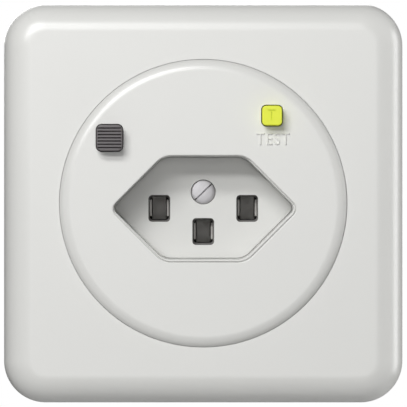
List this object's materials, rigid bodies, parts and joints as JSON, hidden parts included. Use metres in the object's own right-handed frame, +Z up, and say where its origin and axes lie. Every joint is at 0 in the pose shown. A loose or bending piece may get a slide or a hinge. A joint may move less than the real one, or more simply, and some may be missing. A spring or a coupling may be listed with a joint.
{
  "type": "residual-current protected socket outlet",
  "caption": "Square white flush-mounted socket outlet with a round centre plate, hexagonal plug recess for pin plugs, ribbed reset button and yellow test button, with trip mechanism.",
  "frame": {"origin": "centre of the wall plane: the cover stands in front of it and the working parts lie behind it, in the wall box", "axes": "+X to the right, +Z up, -Y out of the wall towards the user, +Y into the wall box"},
  "size_m": [0.086, 0.054, 0.086],
  "materials": {
    "white_plastic": "smooth, softly glossy white moulded plastic",
    "dark_button_plastic": "dark grey ribbed plastic",
    "yellow_button_plastic": "smooth yellow plastic",
    "light_grey_plastic": "moulded light grey plastic",
    "dark_grey_plastic": "moulded dark grey plastic",
    "zinc_plated_steel": "zinc-plated pressed steel",
    "bright_steel": "bright plated steel",
    "contact_bronze": "spring bronze",
    "terminal_brass": "machined brass",
    "contact_silver": "silver contact facing",
    "core_casing": "dark ring core casing",
    "enamelled_copper": "enamelled copper wire",
    "brown_insulation": "brown wire insulation",
    "blue_insulation": "blue wire insulation",
    "circuit_board_green": "green glass-fibre board",
    "blue_component_coating": "blue dipped coating",
    "beige_component_coating": "beige coating"
  },
  "bodies": {
    "housing": {"cover_frame": "white_plastic", "centre_plate": "white_plastic", "centre_screw": "bright_steel", "support_frame": "zinc_plated_steel", "front_housing": "light_grey_plastic", "rear_housing": "dark_grey_plastic", "chassis_plate": "light_grey_plastic", "test_post_left": "terminal_brass", "test_post_right": "terminal_brass", "line_supply_rivet": "contact_silver", "line_load_rivet": "contact_silver", "neutral_load_rivet": "contact_silver", "neutral_supply_rivet": "contact_silver", "line_supply_strip": "contact_bronze", "neutral_supply_strip": "contact_bronze", "line_contact": "contact_bronze", "neutral_contact": "contact_bronze", "earth_contact": "contact_bronze", "earth_strip": "terminal_brass", "latch_pin": "bright_steel", "opening_spring": "bright_steel", "test_spring": "bright_steel", "latch_spring": "bright_steel", "toroid_core": "core_casing", "secondary_winding": "enamelled_copper", "line_lead": "brown_insulation", "neutral_lead": "blue_insulation", "trip_relay": "dark_grey_plastic", "circuit_board": "circuit_board_green", "test_resistor": "beige_component_coating", "board_capacitor": "beige_component_coating", "surge_varistor": "blue_component_coating", "housing_screw_upper_left": "zinc_plated_steel", "housing_screw_upper_right": "zinc_plated_steel", "housing_screw_lower_left": "zinc_plated_steel", "housing_screw_lower_right": "zinc_plated_steel", "supply_line_terminal": "terminal_brass", "supply_line_screw": "zinc_plated_steel", "supply_neutral_terminal": "terminal_brass", "supply_neutral_screw": "zinc_plated_steel", "load_line_terminal": "terminal_brass", "load_line_screw": "zinc_plated_steel", "load_neutral_terminal": "terminal_brass", "load_neutral_screw": "zinc_plated_steel", "supply_earth_terminal": "terminal_brass", "supply_earth_screw": "zinc_plated_steel", "load_earth_terminal": "terminal_brass", "load_earth_screw": "zinc_plated_steel"},
    "reset_system": {"reset_button": "dark_button_plastic", "contact_carriage": "dark_grey_plastic", "line_bridge": "contact_bronze", "neutral_bridge": "contact_bronze"},
    "test_system": {"test_button": "yellow_button_plastic", "test_clip": "contact_bronze"},
    "latch": {"latch_lever": "bright_steel"},
    "plunger": {"relay_plunger": "bright_steel"}
  },
  "joints": [
    {"name": "reset_button_travel", "type": "slide", "parent": "housing", "child": "reset_system", "axis": [0, 1, 0], "range_m": [-0.003, 0], "deforming": ["opening_spring"]},
    {"name": "test_button_press", "type": "slide", "parent": "housing", "child": "test_system", "axis": [0, 1, 0], "range_m": [0, 0.0025], "stiffness_N_per_m": 400, "springref_m": -0.001, "deforming": ["test_spring"]},
    {"name": "latch_lever_swing", "type": "hinge", "parent": "housing", "child": "latch", "pos_m": [0, 0.022, 0.02103], "axis": [-1, 0, 0], "range_deg": [0, 20], "deforming": ["latch_spring"]},
    {"name": "relay_plunger_slide", "type": "slide", "parent": "housing", "child": "plunger", "axis": [0, -1, 0], "range_m": [0, 0.0008]}
  ],
  "couplings": [
    {"joint": "latch_lever_swing", "follows": "reset_button_travel", "rad_per_m": -116.3},
    {"joint": "relay_plunger_slide", "follows": "reset_button_travel", "ratio": -0.26}
  ]
}
